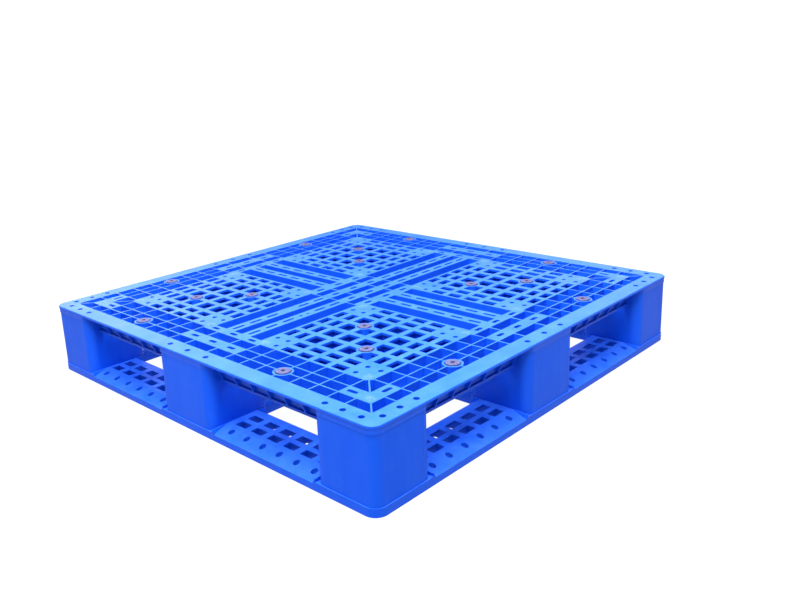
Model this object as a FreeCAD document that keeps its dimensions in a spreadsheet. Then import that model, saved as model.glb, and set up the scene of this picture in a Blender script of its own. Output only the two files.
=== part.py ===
import FreeCAD, Part

import os
import re

# A square plastic pallet with a grid deck on nine hollow legs over a bottom frame with
# four windows. Forks enter from all four sides, two openings to a side.
#
# Frame: the origin is on the floor under the middle of the pallet, +Z is up, and X and Y
# run along the sides. Left is -X, right is +X, front is -Y and back is +Y. The deck and the
# bottom frame are each drawn as one quarter, x > 0 and y > 0, and mirrored across both
# middle planes. Most of a quarter is one eighth, mirrored across its diagonal.

SIZES = {
    # whole pallet
    "side": 1000,
    "deck_top": 155,
    "deck_base": 110,
    "gap": 0.3,
    # deck plates and ribs
    "plate": 5,
    "rib": 3,
    "rim": 35,
    "rim_round": 22,
    "rim_edge": 2,
    "rim_hole": 11.5,
    "rim_hole_line": 481,
    "rim_hole_last": 458,
    "rim_hole_pitch": 40,
    "skirt": 4,
    "skirt_step": 0.7,
    "lip": 5,
    "lip_reach": 4,
    "gusset_reach": 20,
    "gate_mark": 8,
    "gate_mark_rise": 0.5,
    # outer lattice of the deck: three rows of open cells round the panels
    "row_outer": 436.5,
    "row_inner": 409,
    "lattice_start": 88.5,
    "lattice_end": 363.5,
    "corner_rib": 405,
    "corner_slot_line": 382,
    "corner_slot": 23,
    # middle of each side, and the cross in the middle of the deck
    "block_rib_line": 36.8,
    "block_rib": 4,
    "block_slot": 21,
    "block_slot_width": 8.5,
    "block_slot_pitch": 58,
    "block_slot_line": 421.5,
    "end_strip_inner": 359,
    "end_strip_outer": 382,
    "cross_start": 90,
    "cross_plate": 61.5,
    # strips and channels between the panels
    "strip_inner": 12,
    "strip_outer": 39,
    "strip_rib_pitch": 45,
    "strip_slot": 30,
    "strip_slot_width": 7,
    "channel_rib_top": 128,
    # four panels with a grid of holes
    "panel_inner": 72.5,
    "panel_outer": 376,
    "panel_chamfer": 9,
    "panel_middle": 224.25,
    "hole_wide": 32,
    "hole_narrow": 18,
    "pad_hole": 10,
    # anti-slip plugs and the bosses that hold them
    "boss": 38.5,
    "boss_wall": 4,
    "boss_web": 6,
    "seat": 31,
    "seat_depth": 3,
    "stem_bore": 16,
    "plug_head": 27.5,
    "plug_proud": 2,
    "plug_edge": 1.2,
    "plug_stem": 15.6,
    "plug_barb": 18,
    "plug_barb_depth": 3,
    "plug_hole": 8,
    "side_plug_line": 226,
    # steel tubes across the deck
    "tube": 20,
    "tube_wall": 1.5,
    "tube_reach": 432,
    "middle_tube_line": 25.5,
    "side_tube_line": 422,
    # legs
    "corner_leg": 137,
    "leg_half": 81.5,
    "leg_set_back": 1.8,
    "leg_wall": 4,
    "leg_round": 20,
    "leg_foot": 16,
    "leg_head": 140,
    "tab": 16,
    "tab_thickness": 3,
    "tab_top": 147,
    # bottom frame
    "base_top": 22,
    "base_round": 24,
    "base_plate": 4,
    "base_rib": 3,
    "base_edge": 13,
    "base_slope_line": 467,
    "base_inner_edge": 11,
    "base_inner_line": 391,
    "base_cross_edge": 14,
    "base_cross_line": 67,
    "slope_end": 2,
    "window_inner": 75,
    "window_outer": 375,
    "window_round": 12,
    "base_pitch": 45,
    "base_column": 114,
    "base_hole": 30,
    "base_hole_width": 18,
    "base_row_outer": 448.5,
    "base_row_inner": 418.5,
    "base_cross_row": 30,
    "edge_hole": 14,
    "edge_hole_width": 12,
    "edge_hole_line": 478,
}
LATTICE_CELLS = 6
STRIP_SLOTS = 6
BASE_COLUMNS = 6
ODD_SLOT = 2                                   # the strip slot that one quarter moulds differently
WIDE_OFFSETS = (-67.8, -22.6, 22.6, 67.8)      # panel holes, from the panel's middle
NARROW_OFFSETS = (-136.4, -105.6, 105.6, 136.4)
PANEL_RIBS = (-121, -90.2, -45.2, 0, 45.2, 90.2, 121)
PLUG_OFFSETS = (-45.2, 45.2)
HALF = "side / 2"

NAMED = {word: "Sizes." + word for word in SIZES}

doc = FreeCAD.newDocument("PlasticPallet")
sheet = doc.addObject("Spreadsheet::Sheet", "Sizes")
for number, (word, value) in enumerate(SIZES.items(), start=1):
    sheet.set(f"A{number}", word)
    sheet.set(f"B{number}", str(value))
    sheet.setAlias(f"B{number}", word)
doc.recompute()


# ---- drawing helpers -------------------------------------------------------------------------

def formula(text):
    """Point the words of a formula at their cells in the sheet."""
    return re.sub(r"[a-z_]+", lambda found: NAMED.get(found.group(), found.group()), str(text))


def place(thing, x, y, z):
    for axis, text in zip("xyz", (x, y, z)):
        thing.setExpression(f"Placement.Base.{axis}", formula(text))


def block(label, x, y, z):
    """A box that runs from one formula to another along each axis."""
    box = doc.addObject("Part::Box", label)
    for prop, (low, high) in zip(("Length", "Width", "Height"), (x, y, z)):
        box.setExpression(prop, formula(f"({high}) - ({low})"))
    place(box, x[0], y[0], z[0])
    return box


def rod(label, diameter, x, y, z):
    """An upright cylinder at x, y that runs from one height to another."""
    cylinder = doc.addObject("Part::Cylinder", label)
    cylinder.setExpression("Radius", formula(f"({diameter}) / 2"))
    cylinder.setExpression("Height", formula(f"({z[1]}) - ({z[0]})"))
    place(cylinder, x, y, z[0])
    return cylinder


def slot(label, length, width, x, y, z, along_y=False):
    """The three pieces of an upright slot with round ends."""
    straight = f"(({length}) - ({width})) / 2"
    half_width = f"({width}) / 2"
    if along_y:
        middle = block(label, (f"{x} - {half_width}", f"{x} + {half_width}"),
                       (f"{y} - {straight}", f"{y} + {straight}"), z)
        ends = [(x, f"{y} - {straight}"), (x, f"{y} + {straight}")]
    else:
        middle = block(label, (f"{x} - {straight}", f"{x} + {straight}"),
                       (f"{y} - {half_width}", f"{y} + {half_width}"), z)
        ends = [(f"{x} - {straight}", y), (f"{x} + {straight}", y)]
    return [middle] + [rod(label + "_end", width, *end, z) for end in ends]


def group(label, parts):
    """Solids that don't meet, kept side by side in one object."""
    compound = doc.addObject("Part::Compound", label)
    compound.Links = parts
    return compound


def fuse(label, parts):
    """One solid from parts that meet, with faces in one plane merged."""
    union = doc.addObject("Part::MultiFuse", label)
    union.Shapes = parts
    union.Refine = True
    return union


def cut(label, base, tool):
    rest = doc.addObject("Part::Cut", label)
    rest.Base = base
    rest.Tool = tool
    return rest


def mirror(label, source, normal):
    """A copy of source on the other side of a plane through the origin."""
    copy = doc.addObject("Part::Mirroring", label)
    copy.Source = source
    copy.Normal = FreeCAD.Vector(*normal)
    return copy


def both_ways(parts, gather=group):
    """The parts of one eighth, and the same across the quarter's diagonal. Parts that meet
    are gathered with fuse."""
    eighth = gather("Eighth", parts)
    return [eighth, mirror("OtherEighth", eighth, (1, -1, 0))]


def plain(shape):
    """The same shape without the history of its faces' names, which slows large joins."""
    bare = Part.Shape()
    bare.importBrepFromString(shape.exportBrepToString())
    return bare


def whole(label, quarter, holes=None):
    """Four mirrored quarters joined into one solid, with holes cut that aren't mirrored. It is
    a Part::Feature, because its thousands of faces are joined as plain shapes."""
    shape = plain(quarter.Shape)
    for normal in (FreeCAD.Vector(1, 0, 0), FreeCAD.Vector(0, 1, 0)):
        shape = shape.fuse(shape.mirror(FreeCAD.Vector(0, 0, 0), normal))
    if holes:
        shape = shape.cut(plain(holes.Shape))
    feature = doc.addObject("Part::Feature", label)
    feature.Shape = shape.Solids[0] if len(shape.Solids) == 1 else shape
    return feature


def round_edges(label, source, word, chosen):
    """Round those edges of source that chosen() picks, to a radius from the sheet."""
    source.recompute(True)
    fillet = doc.addObject("Part::Fillet", label)
    fillet.Base = source
    radius = sheet.get(word)
    fillet.Edges = [(number, radius, radius)
                    for number, edge in enumerate(source.Shape.Edges, start=1) if chosen(edge)]
    return fillet


def is_upright(edge):
    return abs(edge.tangentAt(edge.FirstParameter).z) > 0.9


def is_outer_corner(edge):
    middle = edge.CenterOfMass
    return is_upright(edge) and min(middle.x, middle.y) > sheet.get("side") / 2 - 1


# ---- top deck --------------------------------------------------------------------------------

OPEN_CELL = ("deck_base - 1", "deck_top + 1")
ROOFED_CELL = ("deck_base - 1", "deck_top - plate")
TOP_HOLE = ("deck_top - plate - 1", "deck_top + 1")
WALL = f"{HALF} - rim"                         # outer face of the wall under the rim
SKIRT_FACE = f"{HALF} - leg_set_back + skirt_step"
ROW_ONE = ("row_outer + rib / 2", f"{WALL} - rib")
ROW_TWO = ("row_inner + rib / 2", "row_outer - rib / 2")
ROW_THREE = ("panel_outer", "row_inner - rib / 2")
BLOCK_ROW_THREE = ("end_strip_outer", "row_inner - rib / 2")
BLOCK_CELLS = (("-1", "block_rib_line - block_rib / 2"),
               ("block_rib_line + block_rib / 2", "lattice_start - rib / 2"))


def lattice_line(number):
    """Middle of a cross rib of the outer lattice."""
    return f"lattice_start + {number} * (lattice_end - lattice_start) / {LATTICE_CELLS}"


def strip_line(number):
    """Middle of a cross rib under a strip."""
    return f"cross_start + {number} * strip_rib_pitch"


def strip_cells():
    """Where the cells between a strip's cross ribs start and end."""
    for number in range(STRIP_SLOTS - 1):
        yield f"{strip_line(number)} + rib / 2", f"{strip_line(number + 1)} - rib / 2"
    yield f"{strip_line(STRIP_SLOTS - 1)} + rib / 2", "end_strip_inner"


def rim_parts():
    """The flat rim, the skirt above each leg, and gussets and a lip in the fork openings."""
    plate = block("RimPlate", ("0", HALF), ("0", HALF), ("deck_top - plate", "deck_top"))
    plate = round_edges("RimCorner", plate, "rim_round", is_outer_corner)
    plate = round_edges("RimEdge", plate, "rim_edge", is_outer_top_edge)
    near_corner = (f"{HALF} - corner_leg - skirt_step", SKIRT_FACE)
    corner_skirt = skirt("SkirtCorner", near_corner, near_corner, is_upright)
    side_skirt = skirt("SkirtSide", ("0", "leg_half + skirt_step"), near_corner,
                       lambda edge: is_upright(edge) and edge.CenterOfMass.x > 1)
    lip = block("BeamLip", ("leg_half + 1", f"{HALF} - corner_leg - 1"),
                (WALL, f"{WALL} + lip_reach"), ("deck_base", "deck_base + lip"))
    gussets = [gusset(lattice_line(number)) for number in range(LATTICE_CELLS)]
    return [plate, corner_skirt] + both_ways([side_skirt, lip] + gussets, fuse)


def is_outer_top_edge(edge):
    half = sheet.get("side") / 2
    middle = edge.CenterOfMass
    on_top = abs(middle.z - sheet.get("deck_top")) < 0.1
    return on_top and max(middle.x, middle.y) > half - sheet.get("rim_round") / 2


def skirt(label, x, y, rounded):
    """A wall round a leg's head, just proud of the leg, as far in as the wall under the rim.
    One that starts at the quarter's edge goes on into the next quarter."""
    goes_on = x[0] == "0"
    outside = block(label + "Block", x, y, ("leg_head", "deck_top - plate"))
    above = ("leg_head - 1", "deck_top")
    bore = block(label + "BoreBlock", ("-1" if goes_on else f"{x[0]} + skirt", f"{x[1]} - skirt"),
                 inset(y, "skirt"), above)
    inboard = block(label + "Inboard", ("-1", HALF if goes_on else WALL), ("-1", WALL), above)
    ring = cut(label + "Ring", round_edges(label + "Outside", outside, "leg_round", rounded),
               round_edges(label + "Bore", bore, "leg_round", rounded))
    return cut(label, ring, inboard)


def gusset(line):
    """A rib under the rim that slopes from the rim's edge back to the foot of the wall."""
    wedge = doc.addObject("Part::Wedge", "Gusset")
    ends = {"Xmin": f"{line} - rib / 2", "Xmax": f"{line} + rib / 2",
            "X2min": f"{line} - rib / 2", "X2max": f"{line} + rib / 2",
            "Ymin": "deck_base", "Ymax": "deck_top - plate",
            "Zmin": f"-({WALL} + rib)", "Zmax": f"-({WALL})",
            "Z2min": f"-({WALL} + gusset_reach)", "Z2max": f"-({WALL})"}
    for prop, text in ends.items():
        wedge.setExpression(prop, formula(text))
    wedge.Placement.Rotation = FreeCAD.Rotation(FreeCAD.Vector(1, 0, 0), 90)
    return wedge


def lattice_cells():
    """Open cells of the three rows between two legs, and of the outer row beside a corner."""
    cells = []
    for number in range(LATTICE_CELLS):
        span = (f"{lattice_line(number)} + rib / 2", f"{lattice_line(number + 1)} - rib / 2")
        cells += [block("LatticeCell", span, row, OPEN_CELL) for row in (ROW_ONE, ROW_TWO, ROW_THREE)]
    cells.append(block("CornerRowCell", ("lattice_end + rib / 2", "corner_rib - rib / 2"),
                       ROW_ONE, OPEN_CELL))
    cells.append(block("CornerArmCell", ("lattice_end + rib / 2", "row_inner - rib / 2"),
                       ROW_TWO, ROOFED_CELL))
    return cells


def corner_cells():
    """Cells on the diagonal: two open L-shaped ones and the roofed square between them."""
    outer = both_ways([block("OuterL", ("corner_rib + rib / 2", ROW_ONE[1]), ROW_ONE, OPEN_CELL)])
    inner = both_ways([block("InnerL", ("lattice_end + rib / 2", ROW_THREE[1]), ROW_THREE, OPEN_CELL)])
    chamfer = doc.addObject("Part::Box", "PanelChamfer")
    for prop, text in {"Length": "panel_chamfer * sqrt(2)", "Width": "panel_chamfer * sqrt(2)",
                       "Height": "deck_top - deck_base + 2"}.items():
        chamfer.setExpression(prop, formula(text))
    place(chamfer, "panel_outer", "panel_outer - panel_chamfer", "deck_base - 1")
    chamfer.Placement.Rotation = FreeCAD.Rotation(FreeCAD.Vector(0, 0, 1), 45)
    square = block("CornerSquare", ROW_TWO, ROW_TWO, ROOFED_CELL)
    return [fuse("OuterCornerCell", outer), fuse("InnerCornerCell", inner + [chamfer]), square]


def side_block_cells():
    """Cells above the leg in the middle of a side: open, roofed and open again."""
    cells = []
    for span in BLOCK_CELLS:
        cells.append(block("BlockRowOne", span, ROW_ONE, OPEN_CELL))
        cells.append(block("BlockRowTwo", span, ROW_TWO, ROOFED_CELL))
        cells.append(block("BlockRowThree", span, BLOCK_ROW_THREE, OPEN_CELL))
    strip = ("end_strip_inner + rib", "end_strip_outer - rib")
    for span in (BLOCK_CELLS[0], (BLOCK_CELLS[1][0], "panel_inner - rib / 2")):
        cells.append(block("EndStripCell", span, strip, ROOFED_CELL))
    return cells


def panel_cells():
    """Roofed cells between the ribs under a panel."""
    limits = [("panel_inner + rib", f"panel_middle + {PANEL_RIBS[0]} - rib / 2")]
    limits += [(f"panel_middle + {low} + rib / 2", f"panel_middle + {high} - rib / 2")
               for low, high in zip(PANEL_RIBS, PANEL_RIBS[1:])]
    limits.append((f"panel_middle + {PANEL_RIBS[-1]} + rib / 2", "panel_outer - rib"))
    corner = (limits[-1][0], "panel_outer - rib - panel_chamfer")
    cells = [block("PanelCell", x, y, ROOFED_CELL) for x in limits for y in limits
             if not x == y == limits[-1]]
    return cells + [block("PanelCornerCell", corner, corner, ROOFED_CELL)]


def channel_cells():
    """Roofed cells under a strip, and the open cells of the channels on both sides of it."""
    cells = []
    for span in strip_cells():
        cells.append(block("StripCell", span, ("strip_inner + rib", "strip_outer - rib"), ROOFED_CELL))
        cells.append(block("MiddleChannel", span, ("-1", "strip_inner"), OPEN_CELL))
        cells.append(block("SideChannel", span, ("strip_outer", "panel_inner"), OPEN_CELL))
    return cells


def cross_cells():
    """Cells of the cross in the middle, where the strips along X run through."""
    cells = []
    inner_end = ("block_rib_line + block_rib / 2", "cross_start - rib / 2")
    for span in (BLOCK_CELLS[0], inner_end):
        cells.append(block("CrossStripCell", span, ("strip_inner + rib", "strip_outer - rib"),
                           ROOFED_CELL))
        cells.append(block("CrossMiddle", span, ("-1", "strip_inner"), OPEN_CELL))
        cells.append(block("CrossSide", span, ("strip_outer", "cross_plate"), OPEN_CELL))
    plate_row = ("cross_plate + rib", "cross_start - rib")
    for span in (BLOCK_CELLS[0], (inner_end[0], "panel_inner - rib / 2")):
        cells.append(block("CrossPlateCell", span, plate_row, ROOFED_CELL))
    cells.append(block("CrossCornerCell", ("panel_inner + rib", "cross_start - rib / 2"),
                       ("cross_plate + rib", "panel_inner"), ROOFED_CELL))
    return cells


def troughs_and_passages():
    """Troughs that lower the channels' cross ribs, and passages for the steel tubes."""
    trough = ("channel_rib_top", "deck_top + 1")
    run = (f"{strip_line(0)} + rib / 2", "end_strip_inner")
    troughs = both_ways([block("MiddleTrough", run, ("-1", "strip_inner"), trough),
                         block("SideTrough", run, ("strip_outer", "panel_inner"), trough)])
    half_width = "(tube / 2 + gap)"
    passages = [block("TubePassage", ("-1", "tube_reach + gap"),
                      (f"{line} - {half_width}", f"{line} + {half_width}"),
                      ("deck_base - 1", "deck_base + tube + 2 * gap"))
                for line in ("middle_tube_line", "side_tube_line")]
    return troughs + passages


def panel_holes():
    """Square holes, narrow holes at the panel's edges and round ones in its corner pads."""
    sizes = {offset: "hole_wide" for offset in WIDE_OFFSETS}
    sizes.update({offset: "hole_narrow" for offset in NARROW_OFFSETS})
    holes = []
    for x, width in sizes.items():
        for y, height in sizes.items():
            if width == height == "hole_narrow":
                if min(abs(x), abs(y)) < max(NARROW_OFFSETS):
                    holes.append(rod("PadHole", "pad_hole", f"panel_middle + {x}",
                                     f"panel_middle + {y}", TOP_HOLE))
            else:
                middle_x, middle_y = f"panel_middle + {x}", f"panel_middle + {y}"
                holes.append(block("PanelHole",
                                   (f"{middle_x} - {width} / 2", f"{middle_x} + {width} / 2"),
                                   (f"{middle_y} - {height} / 2", f"{middle_y} + {height} / 2"),
                                   TOP_HOLE))
    return holes


def rim_holes():
    """Holes in the rim above the legs, on one side of the quarter."""
    lines = [f"rim_hole_last - {number} * rim_hole_pitch" for number in range(3)]
    lines += ["0", "block_slot_pitch"]
    return [rod("RimHole", "rim_hole", line, "rim_hole_line", TOP_HOLE) for line in lines]


def strip_slots():
    """Slots along a strip, without the one that isn't the same in every quarter."""
    pieces = []
    for number in range(STRIP_SLOTS):
        if number != ODD_SLOT:
            pieces += strip_slot(number, "middle_tube_line")
    return pieces


def strip_slot(number, y, side=""):
    middle = f"{side}({strip_line(number)} + strip_rib_pitch / 2)"
    return slot("StripSlot", "strip_slot", "strip_slot_width", middle, y, TOP_HOLE)


def block_slots():
    """Slots above a side leg and in the end strip, and the slot in a corner plate's arm."""
    pieces = slot("CornerSlot", "corner_slot", "block_slot_width", "corner_slot_line",
                  "side_tube_line", TOP_HOLE)
    end_strip = "(end_strip_inner + end_strip_outer) / 2"
    for x in ("0", "block_slot_pitch"):
        for y in ("block_slot_line", end_strip):
            pieces += slot("BlockSlot", "block_slot", "block_slot_width", x, y, TOP_HOLE)
    return pieces


def cross_slots():
    """Slots in the middle cross, and the odd slot of the strip along Y."""
    pieces = []
    for x in ("0", "block_slot_pitch"):
        for y in ("middle_tube_line", "(cross_plate + cross_start) / 2"):
            pieces += slot("CrossSlot", "block_slot", "block_slot_width", x, y, TOP_HOLE)
    middle = f"{strip_line(ODD_SLOT)} + strip_rib_pitch / 2"
    return pieces + slot("CrossStripSlot", "strip_slot", "strip_slot_width", "middle_tube_line",
                         f"({middle})", TOP_HOLE, along_y=True)


def plug_places():
    """Where a quarter's anti-slip plugs sit: two on the panel and one on each outer band."""
    places = [(f"panel_middle + {offset}", f"panel_middle + {offset}") for offset in PLUG_OFFSETS]
    return places + [("side_plug_line", "row_outer"), ("row_outer", "side_plug_line")]


def diagonal_rib(low, high):
    """A rib along the quarter's diagonal, between two distances from the middle planes."""
    length, half_width = f"(({high}) - ({low})) * sqrt(2)", "rib / (2 * sqrt(2))"
    rib = doc.addObject("Part::Box", "DiagonalRib")
    for prop, text in {"Length": length, "Width": "rib", "Height": "deck_top - deck_base",
                       "Placement.Base.x": f"{low} + {half_width}",
                       "Placement.Base.y": f"{low} - {half_width}",
                       "Placement.Base.z": "deck_base"}.items():
        rib.setExpression(prop, formula(text))
    rib.Placement.Rotation = FreeCAD.Rotation(FreeCAD.Vector(0, 0, 1), 45)
    return rib


def gate_marks():
    """Small round witness marks of the moulding gates, on the pads and the corner plates."""
    outer = max(NARROW_OFFSETS)
    places = [(f"panel_middle + {x}", f"panel_middle + {y}") for x in (-outer, outer)
              for y in (-outer, outer)]
    places.append(("(row_inner + row_outer) / 2", "(row_inner + row_outer) / 2"))
    return [rod("GateMark", "gate_mark", x, y, ("deck_top - 1", "deck_top + gate_mark_rise"))
            for x, y in places]


def boss_bores(x, y):
    """Seat, stem bore and lower hollow of a plug's boss."""
    web_top = "deck_top - seat_depth"
    return [rod("PlugSeat", "seat", x, y, (web_top, "deck_top + 1")),
            rod("StemBore", "stem_bore", x, y, (f"{web_top} - boss_web - 1", f"{web_top} + 1")),
            rod("BossHollow", "boss - 2 * boss_wall", x, y, ("deck_base - 1", f"{web_top} - boss_web"))]


def deck_quarter():
    core = block("DeckCore", ("0", WALL), ("0", WALL), ("deck_base", "deck_top"))
    blank = fuse("DeckBlank", [core] + rim_parts())
    cells = both_ways(lattice_cells() + side_block_cells() + channel_cells())
    cells += corner_cells() + panel_cells() + cross_cells()
    ribbed = cut("DeckRibbed", blank, group("DeckCells", cells))
    slots = both_ways(rim_holes() + strip_slots() + block_slots(), fuse)
    tools = troughs_and_passages() + slots + panel_holes() + cross_slots()
    pierced = cut("DeckPierced", ribbed, fuse("DeckHoles", tools))
    bosses = [rod("Boss", "boss", x, y, ("deck_base", "deck_top")) for x, y in plug_places()]
    ribs = [diagonal_rib("row_outer", f"{WALL} - rib / 2"), diagonal_rib("panel_outer - panel_chamfer",
                                                                        "row_inner")]
    solid = fuse("DeckBossed", [pierced] + bosses + ribs + gate_marks())
    bores = [piece for x, y in plug_places() for piece in boss_bores(x, y)]
    return cut("DeckQuarter", solid, fuse("BossBores", bores))


def odd_holes():
    """The third slot of each strip along X: three are plain, one is left out for two small holes."""
    pieces = strip_slot(ODD_SLOT, "middle_tube_line") + strip_slot(ODD_SLOT, "-middle_tube_line")
    middle = f"-({strip_line(ODD_SLOT)} + strip_rib_pitch / 2)"
    pieces += [rod("SmallHole", "strip_slot_width", f"{middle} + {offset}", "-middle_tube_line",
                   TOP_HOLE) for offset in (-10, 10)]
    return fuse("OddHoles", pieces)


# ---- anti-slip plugs -------------------------------------------------------------------------

def plug(label, x, y):
    """A rubber plug: a flat head in its seat, a stem and a barb under the boss's web."""
    web_top = "deck_top - seat_depth"
    web_base = f"{web_top} - boss_web"
    head = rod("PlugHead", "plug_head", x, y, (web_top, "deck_top + plug_proud"))
    head = round_edges("PlugEdge", head, "plug_edge",
                       lambda edge: not is_upright(edge) and edge.CenterOfMass.z > sheet.get("deck_top"))
    stem = rod("PlugStem", "plug_stem", x, y, (f"{web_base} - plug_barb_depth", web_top))
    barb = rod("PlugBarb", "plug_barb", x, y, (f"{web_base} - plug_barb_depth", web_base))
    hole = rod("PlugHole", "plug_hole", x, y,
               (f"{web_base} - plug_barb_depth - 1", "deck_top + plug_proud + 1"))
    return cut(label, fuse("PlugBody", [head, stem, barb]), hole)


def plugs():
    nodes = []
    for x_side, y_side in ((-1, -1), (1, -1), (1, 1), (-1, 1)):
        for x, y in plug_places():
            label = f"anti_slip_plug_{len(nodes) + 1:02d}"
            nodes.append(plug(label, f"{x_side} * ({x})", f"{y_side} * ({y})"))
    return nodes


# ---- steel tubes -----------------------------------------------------------------------------

def steel_tube(label, line):
    """A square tube along X that rests on the legs' heads."""
    def bar(name, inset, reach):
        return block(name, (f"-({reach})", reach),
                     (f"{line} - tube / 2 + {inset}", f"{line} + tube / 2 - {inset}"),
                     (f"deck_base + {inset}", f"deck_base + tube - {inset}"))
    return cut(label, bar("TubeOuter", "0", "tube_reach"),
               bar("TubeInner", "tube_wall", "tube_reach + 1"))


def steel_tubes():
    lines = {"front": "-side_tube_line", "mid_front": "-middle_tube_line",
             "mid_back": "middle_tube_line", "back": "side_tube_line"}
    return [steel_tube("steel_tube_" + name, line) for name, line in lines.items()]


# ---- legs ------------------------------------------------------------------------------------

def inset(span, distance):
    low, high = span
    return f"{low} + {distance}", f"{high} - {distance}"


def round_post(label, x, y, z):
    """An upright block with rounded upright edges."""
    return round_edges(label, block(label + "Block", x, y, z), "leg_round", is_upright)


def leg(label, x, y, shoulder, ribs, tabs):
    """A hollow leg, open below. Its head is a flat roof under the deck, and past the shoulder
    its outer walls run on up to the rim's skirt. shoulder holds the two spans inside which
    the leg stops at its roof, or None where it does all over."""
    head = "leg_head" if shoulder else "deck_base"
    outside = round_post("LegOutside", x, y, ("leg_foot", head))
    hollow_top = f"{head} + 1" if shoulder else "deck_base - leg_wall"
    hollow = round_post("LegHollow", inset(x, "leg_wall"), inset(y, "leg_wall"),
                        ("leg_foot - 1", hollow_top))
    if shoulder:
        above = ("deck_base", "leg_head + 1")
        outside = cut("LegShouldered", outside, block("Shoulder", *shoulder, above))
        thicker = [(low, f"{high} + leg_wall") for low, high in shoulder]
        hollow = cut("HollowShouldered", hollow,
                     block("RoofKept", *thicker, ("deck_base - leg_wall", "leg_head + 2")))
    shell = cut("LegShell", outside, hollow)
    rib_height = ("leg_foot", "deck_base - leg_wall / 2")
    inner_x, inner_y = inset(x, "leg_wall / 2"), inset(y, "leg_wall / 2")
    pieces = [block("LegRib", (f"{line} - rib / 2", f"{line} + rib / 2"), inner_y, rib_height)
              for line in ribs[0]]
    pieces += [block("LegRib", inner_x, (f"{line} - rib / 2", f"{line} + rib / 2"), rib_height)
               for line in ribs[1]]
    pieces += [snap_tab(*centre, along_y) for *centre, along_y in tabs]
    return fuse(label, [shell] + pieces)


def snap_tab(x, y, along_y):
    """A flat tab that rises from a leg's roof to catch under the deck's plate."""
    long_half, thin_half = "tab / 2", "tab_thickness / 2"
    x_half, y_half = (thin_half, long_half) if along_y else (long_half, thin_half)
    return block("SnapTab", (f"{x} - {x_half}", f"{x} + {x_half}"),
                 (f"{y} - {y_half}", f"{y} + {y_half}"), ("deck_base - leg_wall / 2", "tab_top"))


def thirds(span):
    low, high = span
    return [f"({low}) + {number} * (({high}) - ({low})) / 3" for number in (1, 2)]


def legs():
    outer_span = (f"{HALF} - corner_leg", f"{HALF} - leg_set_back")
    middle_span = ("-leg_half", "leg_half")
    inboard = (f"{HALF} - corner_leg - 1", f"{WALL} + gap")
    across = ("-leg_half - 1", "leg_half + 1")
    end_strip = "(end_strip_inner + end_strip_outer) / 2"

    corner = leg("corner_leg_back_right", outer_span, outer_span, (inboard, inboard),
                 (thirds(outer_span), thirds(outer_span)), [("side_tube_line", "corner_slot_line", True)])
    back = leg("side_leg_back", middle_span, outer_span, (across, inboard),
               (thirds(middle_span), thirds(outer_span)),
               [(x, end_strip, False) for x in ("-block_slot_pitch", "0", "block_slot_pitch")])
    right = leg("side_leg_right", outer_span, middle_span, (inboard, across),
                (thirds(outer_span), thirds(middle_span)),
                [("block_slot_line", y, True) for y in ("-block_slot_pitch", "block_slot_pitch")])
    cross_line = "(cross_plate + cross_start) / 2"
    centre = leg("centre_leg", middle_span, middle_span, None,
                 (thirds(middle_span), thirds(middle_span)),
                 [(x, f"{side}({cross_line})", False) for side in ("", "-")
                  for x in ("-block_slot_pitch", "0", "block_slot_pitch")])
    left_corner = mirror("corner_leg_back_left", corner, (1, 0, 0))
    return [corner, left_corner, mirror("corner_leg_front_right", corner, (0, 1, 0)),
            mirror("corner_leg_front_left", left_corner, (0, 1, 0)),
            back, mirror("side_leg_front", back, (0, 1, 0)),
            right, mirror("side_leg_left", right, (1, 0, 0)), centre]


# ---- bottom frame ----------------------------------------------------------------------------

BASE_THROUGH = ("-1", "base_top + 1")


def slope(x, high_line, low_line, low_height, outward):
    """Cuts a slope along X that falls from the frame's top at high_line to low_height at
    low_line, with sloping ends. outward is 1 where it falls towards +Y and -1 towards -Y."""
    drop = f"(base_top - ({low_height}))"
    beyond = f"{low_line} + {outward}"
    near, far = (beyond, low_line) if outward > 0 else (low_line, beyond)
    top_near, top_far = (beyond, high_line) if outward > 0 else (high_line, beyond)
    ends = {"Xmin": f"{x[0]} + {drop} / 2", "Xmax": f"{x[1]} - {drop} / 2",
            "X2min": x[0], "X2max": x[1],
            "Ymin": low_height, "Ymax": "base_top",
            "Zmin": f"-({near})", "Zmax": f"-({far})", "Z2min": f"-({top_near})", "Z2max": f"-({top_far})"}
    wedge = doc.addObject("Part::Wedge", "Slope")
    for prop, text in ends.items():
        wedge.setExpression(prop, formula(text))
    wedge.Placement.Rotation = FreeCAD.Rotation(FreeCAD.Vector(1, 0, 0), 90)
    return wedge


def base_line(number):
    """Middle of a cross rib of the bottom frame."""
    return f"base_column + {number - 0.5} * base_pitch"


def slopes():
    """The outer edge, the window's outer edge and the middle runner's edge."""
    opening = ("leg_half + slope_end", f"{HALF} - corner_leg - slope_end")
    return [slope(opening, "base_slope_line", HALF, "base_edge", 1),
            slope(opening, "base_inner_line", "window_outer", "base_inner_edge", -1),
            slope(opening, "base_cross_line", "window_inner", "base_cross_edge", 1)]


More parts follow.
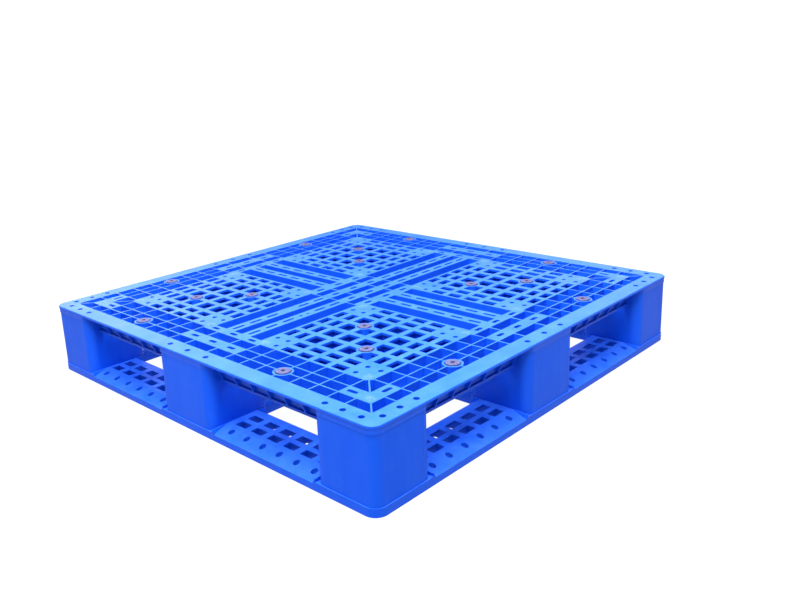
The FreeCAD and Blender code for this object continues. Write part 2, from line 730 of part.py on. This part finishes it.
def runner_pockets():
    """Hollows under the outer runner and the middle one, between their ribs."""
    roof = "base_top - base_plate"
    rows = ((("window_outer + base_rib", "base_inner_line"), "base_inner_edge - base_plate"),
            (("base_inner_line + base_rib", "(base_row_inner + base_row_outer) / 2 - base_rib / 2"), roof),
            (("(base_row_inner + base_row_outer) / 2 + base_rib / 2", "base_slope_line - base_rib"), roof),
            (("base_slope_line", f"{HALF} - base_rib"), "base_edge - base_plate"),
            (("base_rib / 2", "base_cross_row - base_rib / 2"), roof),
            (("base_cross_row + base_rib / 2", "2 * base_cross_row - base_rib / 2"), roof),
            (("2 * base_cross_row + base_rib / 2", "window_inner - base_rib"),
             "base_cross_edge - base_plate"))
    pockets = []
    for number in range(BASE_COLUMNS):
        span = (f"{base_line(number)} + base_rib / 2", f"{base_line(number + 1)} - base_rib / 2")
        pockets += [block("RunnerPocket", span, row, ("-1", ceiling)) for row, ceiling in rows]
    return pockets


def cells_between(low, high, count):
    """Spans of equal cells with ribs between them."""
    step = f"(({high}) - ({low}) + base_rib) / {count}"
    return [(f"{low} + {number} * {step}", f"{low} + {number + 1} * {step} - base_rib")
            for number in range(count)]


def leg_pockets():
    """Hollows under a side leg, as one half of it, and under a corner leg and the centre leg."""
    under_leg = ("-1", "leg_foot - base_plate")
    side_cells = cells_between("base_rib / 2", f"{base_line(0)} - base_rib / 2", 2)
    runner_cells = cells_between("window_outer + base_rib", f"{HALF} - base_rib", 3)
    corner_cells_x = cells_between(f"{base_line(BASE_COLUMNS)} + base_rib / 2",
                                   f"{HALF} - base_rib", 3)
    centre_cells = cells_between("base_rib / 2", "window_inner - base_rib", 2)
    side = [block("SidePocket", x, y, under_leg) for x in side_cells for y in runner_cells]
    corner = [block("CornerPocket", x, y, under_leg) for x in corner_cells_x
              for y in corner_cells_x if not x == y == corner_cells_x[-1]]
    centre = [block("CentrePocket", x, y, under_leg) for x in centre_cells for y in centre_cells]
    return both_ways(side) + corner + centre


def leg_sockets():
    """Shallow sockets that the legs' feet stand in."""
    depth = ("leg_foot", "base_top + 1")
    out = f"{HALF} + 1"
    corner = block("CornerSocketBlock", (f"{HALF} - corner_leg - gap", out),
                   (f"{HALF} - corner_leg - gap", out), depth)
    side = block("SideSocketBlock", ("-leg_half - gap", "leg_half + gap"),
                 (f"{HALF} - corner_leg - gap", out), depth)
    centre = block("CentreSocketBlock", ("-leg_half - gap", "leg_half + gap"),
                   ("-leg_half - gap", "leg_half + gap"), depth)

    def is_inboard(edge):
        return is_upright(edge) and edge.CenterOfMass.y < sheet.get("side") / 2

    def is_inner_corner(edge):
        return is_inboard(edge) and edge.CenterOfMass.x < sheet.get("side") / 2

    return ([round_edges("CornerSocket", corner, "leg_round", is_inner_corner)]
            + both_ways([round_edges("SideSocket", side, "leg_round", is_inboard)])
            + [round_edges("CentreSocket", centre, "leg_round", is_upright)])


def base_holes():
    """Two rows of holes in the outer runner, two in the middle one, and small ones in the slope."""
    pieces = []
    for number in range(BASE_COLUMNS):
        x = f"base_column + {number} * base_pitch"
        span = (f"{x} - base_hole / 2", f"{x} + base_hole / 2")
        for y in ("base_row_outer", "base_row_inner", "base_cross_row / 2", "3 * base_cross_row / 2"):
            width = (f"{y} - base_hole_width / 2", f"{y} + base_hole_width / 2")
            pieces.append(block("BaseHole", span, width, BASE_THROUGH))
        pieces += slot("EdgeHole", "edge_hole", "edge_hole_width", x, "edge_hole_line",
                       BASE_THROUGH, along_y=True)
    return pieces


def base_quarter():
    blank = block("BaseBlank", ("0", HALF), ("0", HALF), ("0", "base_top"))
    blank = round_edges("BaseRounded", blank, "base_round", is_outer_corner)
    window = block("WindowBlock", ("window_inner", "window_outer"), ("window_inner", "window_outer"),
                   BASE_THROUGH)
    window = round_edges("Window", window, "window_round", is_upright)
    open_frame = cut("BaseOpen", blank, window)
    sloped = cut("BaseSloped", open_frame, group("BaseSlopes", both_ways(slopes())))
    hollow = cut("BaseHollow", sloped, group("BasePockets", both_ways(runner_pockets()) + leg_pockets()))
    holed = cut("BaseHoled", hollow, group("BaseHoles", both_ways(base_holes(), fuse)))
    return cut("BaseQuarter", holed, fuse("BaseSockets", leg_sockets()))


# ---- build, check and write ------------------------------------------------------------------

def check(nodes):
    """Refuse a failed object anywhere, and a sub-part that isn't one valid solid."""
    failed = [thing.Label for thing in doc.Objects if {"Invalid", "Error"} & set(thing.State)]
    if failed:
        raise SystemExit(f"failed objects: {failed}")
    for node in nodes:
        if node.Shape.isNull() or not node.Shape.isValid() or len(node.Shape.Solids) != 1:
            raise SystemExit(f"{node.Label} is not one valid solid")


quarters = [deck_quarter(), base_quarter()]
deck_holes = odd_holes()
sub_parts = legs() + plugs() + steel_tubes()
doc.recompute()
check(sub_parts + quarters)
sub_parts += [whole("top_deck", quarters[0], deck_holes), whole("bottom_frame", quarters[1])]
check(sub_parts)

os.makedirs("parts", exist_ok=True)
for part in sub_parts:
    part.Shape.exportStep(f"parts/{part.Label}.step")
    print(f"{part.Label:26s} {part.Shape.Volume / 1000:9.1f} cm3 {len(part.Shape.Faces):5d} faces")
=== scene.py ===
import math

import bpy
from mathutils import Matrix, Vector

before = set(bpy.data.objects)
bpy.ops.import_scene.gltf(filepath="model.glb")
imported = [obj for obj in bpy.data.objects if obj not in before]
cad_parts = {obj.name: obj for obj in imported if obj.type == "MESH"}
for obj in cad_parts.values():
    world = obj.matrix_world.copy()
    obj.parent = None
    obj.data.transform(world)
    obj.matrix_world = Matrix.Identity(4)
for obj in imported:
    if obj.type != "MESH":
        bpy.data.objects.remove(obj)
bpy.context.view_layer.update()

# A square blue plastic pallet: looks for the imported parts, the camera, the light and the floor.
# Everything is in metres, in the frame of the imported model: origin on the floor under the
# middle of the pallet, +Z up, X and Y along its sides.

MM = 0.001

# Linear colours: the one blue polyethylene of all mouldings; a pale blue for flow lines, rubbed
# plastic and dust, and for the painted sheen that makes every face looking up paler; the plugs and the
# tubes
PLASTIC_BLUE = (0.003, 0.072, 0.63)
PALE_DUST_WEAR_AND_SHEEN_BLUE = (0.12, 0.29, 0.74)
STRESSED_BLUE = (0.42, 0.58, 0.85)
PLUG_MAUVE = (0.040, 0.042, 0.130)
TUBE_GREY = (0.62, 0.63, 0.64)

# Gate marks of one quarter of the deck: on the panel's four pads, and on the corner plate
PADS = (0.0879, 0.3607)
CORNER_PLATE = 0.4228
GATES = [(x, y) for x in PADS for y in PADS] + [(CORNER_PLATE, CORNER_PLATE)]
GATE_REACH = 13.0 * MM                         # where the whitening round a gate ends
GATE_CORE = 2.0 * MM                           # where it is full

# How dull or shiny each moulding is: the share of a full reflection that its surface gives
DECK_SHINE = 0.12
LEG_SHINE = 0.06
FRAME_SHINE = 0.09


# ---- material helpers ------------------------------------------------------------------------

class Nodes:
    """Short ways to add nodes to a node tree."""

    def __init__(self, tree):
        self.tree = tree

    def add(self, kind, inputs=None, **settings):
        """A node with settings. An input is a number, a colour or another node's output."""
        node = self.tree.nodes.new(kind)
        for name, value in settings.items():
            setattr(node, name, value)
        for name, value in (inputs or {}).items():
            self.put(node.inputs[name], value)
        return node

    def put(self, socket, value):
        if isinstance(value, bpy.types.NodeSocket):
            self.tree.links.new(value, socket)
        else:
            socket.default_value = value

    def stretched(self, stretch):
        """Object coordinates, scaled along each axis."""
        node = self.add("ShaderNodeMapping", {"Vector": self.place, "Scale": stretch})
        return node.outputs["Vector"]

    def noise(self, scale, detail=3.0, roughness=0.5, place=None):
        """Noise from 0 to 1, scale in lumps per metre."""
        node = self.add("ShaderNodeTexNoise", {"Vector": place or self.place, "Scale": scale,
                                               "Detail": detail, "Roughness": roughness})
        return node.outputs["Fac"]

    def ramp(self, value, start, end, low=0.0, high=1.0):
        """value from start to end, mapped to low to high and held there beyond."""
        return self.add("ShaderNodeMapRange", {"Value": value, "From Min": start, "From Max": end,
                                               "To Min": low, "To Max": high}).outputs["Result"]

    def maths(self, operation, first, second):
        node = self.add("ShaderNodeMath", operation=operation)
        self.put(node.inputs[0], first)
        self.put(node.inputs[1], second)
        return node.outputs["Value"]

    def mix(self, share, first, second):
        """Colour first going to second with share."""
        node = self.add("ShaderNodeMix", data_type="RGBA")
        self.put(node.inputs["Factor"], share)
        for socket, colour in ((node.inputs[6], first), (node.inputs[7], second)):
            self.put(socket, colour if isinstance(colour, bpy.types.NodeSocket) else (*colour, 1.0))
        return node.outputs[2]

    def bump(self, height, depth, strength=1.0, under=None):
        """A bump whose full height is depth, in metres, on top of another one."""
        inputs = {"Height": height, "Distance": depth, "Strength": strength}
        if under:
            inputs["Normal"] = under
        return self.add("ShaderNodeBump", inputs).outputs["Normal"]


class Material(Nodes):
    """A new material. Its textures lie in the object's own coordinates, in metres."""

    def __init__(self, name):
        self.material = bpy.data.materials.new(name)
        self.material.use_nodes = True
        super().__init__(self.material.node_tree)
        self.shader = self.tree.nodes["Principled BSDF"]
        self.place = self.add("ShaderNodeTexCoord").outputs["Object"]


def lighter(colour, amount):
    return tuple(channel + (1.0 - channel) * amount for channel in colour)


def darker(colour, amount):
    return tuple(channel * (1.0 - amount) for channel in colour)


# ---- materials -------------------------------------------------------------------------------

def scratches(n):
    """Thin crossing scratches, kept to patches, from 0 to 1."""
    lines = 0.0
    for stretch in ((14.0, 1.0, 3.0), (1.0, 16.0, 3.0), (6.0, 7.0, 1.0)):
        line = n.ramp(n.noise(60.0, 2.0, 0.5, n.stretched(stretch)), 0.68, 0.74)
        lines = n.maths("MAXIMUM", lines, line)
    return n.maths("MULTIPLY", lines, n.ramp(n.noise(14.0, 3.0), 0.52, 0.70))


def looking_up(n):
    """1 on level faces that look up, 0 on upright ones."""
    normal = n.add("ShaderNodeNewGeometry").outputs["True Normal"]
    return n.ramp(n.add("ShaderNodeSeparateXYZ", {"Vector": normal}).outputs["Z"], 0.5, 0.95)


def near_gates(n):
    """1 on the gate marks of all four quarters, fading to 0 at a ragged edge round them."""
    flat = n.add("ShaderNodeVectorMath", {0: n.place, 1: (1.0, 1.0, 0.0)}, operation="MULTIPLY")
    folded = n.add("ShaderNodeVectorMath", {0: flat.outputs["Vector"]}, operation="ABSOLUTE")
    nearest = 1.0
    for x, y in GATES:
        distance = n.add("ShaderNodeVectorMath", {0: folded.outputs["Vector"], 1: (x, y, 0.0)},
                         operation="DISTANCE")
        nearest = n.maths("MINIMUM", nearest, distance.outputs["Value"])
    ragged = n.maths("ADD", nearest, n.ramp(n.noise(160.0, 3.0), 0.3, 0.7, -4.0 * MM, 5.0 * MM))
    return n.ramp(ragged, GATE_REACH, GATE_CORE)


def moulded_plastic(name, flow_stretch, wear, shine, gated=False):
    """Polyethylene as it leaves the mould: cloudy colour, faint flow lines, a fine grain in the
    surface, scuffs, and a pale haze where it looks up, partly dust and partly painted sheen.
    flow_stretch is the noise's scale along each axis, so flow lines run along the axis of the
    smallest. Gated plastic is whitened at its gates."""
    n = Material(name)
    clouds = n.ramp(n.noise(5.0, 2.0), 0.3, 0.7)
    flow = n.ramp(n.noise(9.0, 4.0, 0.6, n.stretched(flow_stretch)), 0.35, 0.65)
    body = n.mix(clouds, darker(PLASTIC_BLUE, 0.07), PLASTIC_BLUE)
    body = n.mix(n.maths("MULTIPLY", flow, 0.03), body, PALE_DUST_WEAR_AND_SHEEN_BLUE)

    scuffs = n.maths("MULTIPLY", scratches(n), wear)
    rubbed = n.maths("MULTIPLY", n.ramp(n.noise(35.0, 5.0, 0.7), 0.55, 0.80), 0.3 * wear)
    worn = n.maths("MAXIMUM", n.maths("MULTIPLY", scuffs, 0.5), rubbed)
    # Dust together with painted sheen: every face that looks up is mixed 5 to 21% toward the pale blue,
    # so tops come out paler in place of the light they reflect
    dust_and_sheen_amount = n.ramp(n.noise(24.0, 6.0, 0.72), 0.30, 0.75, 0.05, 0.21)
    dust_and_top_sheen = n.maths("MULTIPLY", dust_and_sheen_amount, looking_up(n))
    body = n.mix(n.maths("ADD", dust_and_top_sheen, n.maths("MULTIPLY", worn, 0.4)), body, PALE_DUST_WEAR_AND_SHEEN_BLUE)
    if gated:
        body = n.mix(n.maths("MULTIPLY", near_gates(n), 0.09), body, STRESSED_BLUE)
    n.put(n.shader.inputs["Base Color"], body)

    gloss = n.ramp(n.noise(22.0, 4.0), 0.3, 0.7, 0.38, 0.48)
    dull = n.maths("MULTIPLY", n.maths("ADD", worn, dust_and_top_sheen), 0.4)
    n.put(n.shader.inputs["Roughness"], n.maths("ADD", gloss, dull))
    n.put(n.shader.inputs["Specular IOR Level"], shine)

    grain = n.bump(n.noise(900.0, 2.0), 0.05 * MM, 0.5)
    waves = n.bump(n.noise(28.0, 2.0), 0.25 * MM, 0.35, grain)
    n.put(n.shader.inputs["Normal"], n.bump(scuffs, -0.06 * MM, 0.6, waves))
    return n.material


def soft_rubber(name, colour):
    """Matt thermoplastic rubber: a dusty bloom, small pits and a faint sheen."""
    n = Material(name)
    bloom = n.ramp(n.noise(160.0, 4.0, 0.65), 0.40, 0.75)
    body = n.mix(bloom, colour, lighter(colour, 0.05))
    pits = n.ramp(n.noise(1400.0, 1.0), 0.30, 0.42)
    n.put(n.shader.inputs["Base Color"], n.mix(pits, darker(colour, 0.3), body))
    n.put(n.shader.inputs["Roughness"], n.ramp(bloom, 0.0, 1.0, 0.60, 0.78))
    n.put(n.shader.inputs["Specular IOR Level"], 0.3)
    n.put(n.shader.inputs["Normal"], n.bump(pits, 0.12 * MM, 0.5))
    return n.material


def galvanised_steel(name, colour):
    """Zinc-coated steel: metal with the dull patchwork of zinc crystals."""
    n = Material(name)
    spangle = n.add("ShaderNodeTexVoronoi", {"Vector": n.place, "Scale": 130.0}).outputs["Color"]
    shade = n.add("ShaderNodeSeparateColor", {"Color": spangle}).outputs["Red"]
    n.put(n.shader.inputs["Base Color"], n.mix(shade, darker(colour, 0.18), lighter(colour, 0.12)))
    n.put(n.shader.inputs["Metallic"], 1.0)
    n.put(n.shader.inputs["Roughness"], n.ramp(shade, 0.0, 1.0, 0.30, 0.48))
    n.put(n.shader.inputs["Normal"], n.bump(n.noise(300.0, 3.0), 0.04 * MM, 0.4))
    return n.material


def pale_floor():
    """A plain floor that gives off its own even white light, with a barely visible mottle."""
    n = Material("pale_floor")
    mottle = n.ramp(n.noise(3.0, 4.0), 0.3, 0.7)
    n.put(n.shader.inputs["Base Color"], n.mix(mottle, (0.028, 0.029, 0.03), (0.032, 0.032, 0.032)))
    n.put(n.shader.inputs["Roughness"], 0.9)
    n.put(n.shader.inputs["Emission Color"], (1.0, 1.0, 1.0, 1.0))
    n.put(n.shader.inputs["Emission Strength"], FLOOR_LIGHT)
    return n.material


# ---- the object ------------------------------------------------------------------------------

def dress(name, material):
    """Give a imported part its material."""
    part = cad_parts[name]
    part.data.materials.clear()
    part.data.materials.append(material)


def dress_all():
    along_x, upwards = (1.0, 4.0, 1.0), (5.0, 5.0, 0.6)
    deck = moulded_plastic("deck_plastic", along_x, 0.5, DECK_SHINE, gated=True)
    legs = moulded_plastic("leg_plastic", upwards, 0.5, LEG_SHINE)
    base = moulded_plastic("frame_plastic", along_x, 0.6, FRAME_SHINE)
    rubber = soft_rubber("plug_rubber", PLUG_MAUVE)
    steel = galvanised_steel("tube_steel", TUBE_GREY)
    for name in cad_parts:
        if "plug" in name:
            dress(name, rubber)
        elif "tube" in name:
            dress(name, steel)
        elif "leg" in name:
            dress(name, legs)
        elif name == "top_deck":
            dress(name, deck)
        else:
            dress(name, base)


# ---- camera, light and floor -----------------------------------------------------------------

CAMERA_PLACE = (-1.28718, -1.26085, 0.70379)
CAMERA_TILT, CAMERA_ROLL, CAMERA_TURN = 74.534, 2.735, -45.681     # degrees
CAMERA_LENS = 36.743                                          # mm, on a sensor 36 mm wide
CAMERA_SHIFT = (0.06076, -0.03908)

SOFTBOX_PLACE = Vector((-0.66, -0.50, 2.3))
SOFTBOX_SIZE = 2.3
SOFTBOX_RADIANCE = 4.6

# Directions of the surround's back, and of the air above its left and right corners
BACK = (0.707, 0.707, 0.0)
BEHIND_LEFT = (0.20, 0.93, 0.31)
BEHIND_RIGHT = (0.93, 0.20, 0.31)
LEFT_GLOW, RIGHT_GLOW = 6.0, 3.0

FLOOR_LIGHT = 0.95
FLOOR_REACH = 40.0                                            # metres from the middle to an edge
FLOOR_DROP = 0.5 * MM                                         # below the pallet's feet


def add_camera():
    data = bpy.data.cameras.new("camera")
    data.lens = CAMERA_LENS
    data.shift_x, data.shift_y = CAMERA_SHIFT
    camera = bpy.data.objects.new("camera", data)
    bpy.context.scene.collection.objects.link(camera)
    camera.location = CAMERA_PLACE
    camera.rotation_euler = [math.radians(a) for a in (CAMERA_TILT, CAMERA_ROLL, CAMERA_TURN)]
    bpy.context.scene.camera = camera


def add_softbox(name, place, size, radiance):
    """A round softbox that shines on the middle of the pallet, as bright as one that would
    fill the whole sky with that radiance."""
    data = bpy.data.lights.new(name, "AREA")
    data.shape = "DISK"
    data.size = size
    distance = place.length
    data.energy = radiance * math.pi ** 2 * distance ** 2
    softbox = bpy.data.objects.new(name, data)
    bpy.context.scene.collection.objects.link(softbox)
    softbox.location = place
    softbox.rotation_euler = place.to_track_quat("Z", "Y").to_euler()
    softbox.visible_camera = False


def add_lights():
    """A softbox high over the front left of the pallet, and a surround that is white along the
    horizon, dim above it, dimmest in front, and glows behind the left and right corners."""
    add_softbox("overhead", SOFTBOX_PLACE, SOFTBOX_SIZE, SOFTBOX_RADIANCE)

    world = bpy.data.worlds.new("surround")
    world.use_nodes = True
    n = Nodes(world.node_tree)
    direction = n.add("ShaderNodeTexCoord").outputs["Generated"]

    def share(along, start, end, low, high):
        """From low to high as the direction's part along a line goes from start to end."""
        dot = n.add("ShaderNodeVectorMath", {0: direction, 1: along}, operation="DOT_PRODUCT")
        return n.ramp(dot.outputs["Value"], start, end, low, high)

    horizon = share((0.0, 0.0, 1.0), 0.10, 0.16, 1.1, 0.0)
    sky = share(BACK, -0.4, 0.4, 0.08, 0.25)
    glow = n.maths("MAXIMUM", share(BEHIND_LEFT, 0.89, 0.97, 0.0, LEFT_GLOW),
                   share(BEHIND_RIGHT, 0.89, 0.97, 0.0, RIGHT_GLOW))
    background = world.node_tree.nodes["Background"]
    n.put(background.inputs["Color"], (1.0, 1.0, 1.0, 1.0))
    brightest = n.maths("MAXIMUM", n.maths("MAXIMUM", horizon, sky), glow)
    n.put(background.inputs["Strength"], brightest)
    bpy.context.scene.world = world
    bpy.context.scene.view_settings.view_transform = "Standard"


def add_floor():
    mesh = bpy.data.meshes.new("floor")
    corners = [(x * FLOOR_REACH, y * FLOOR_REACH, 0.0) for x, y in ((-1, -1), (1, -1), (1, 1), (-1, 1))]
    mesh.from_pydata(corners, [], [(0, 1, 2, 3)])
    mesh.materials.append(pale_floor())
    floor = bpy.data.objects.new("floor", mesh)
    bpy.context.scene.collection.objects.link(floor)
    floor.location.z = -FLOOR_DROP


add_camera()
dress_all()
add_lights()
add_floor()
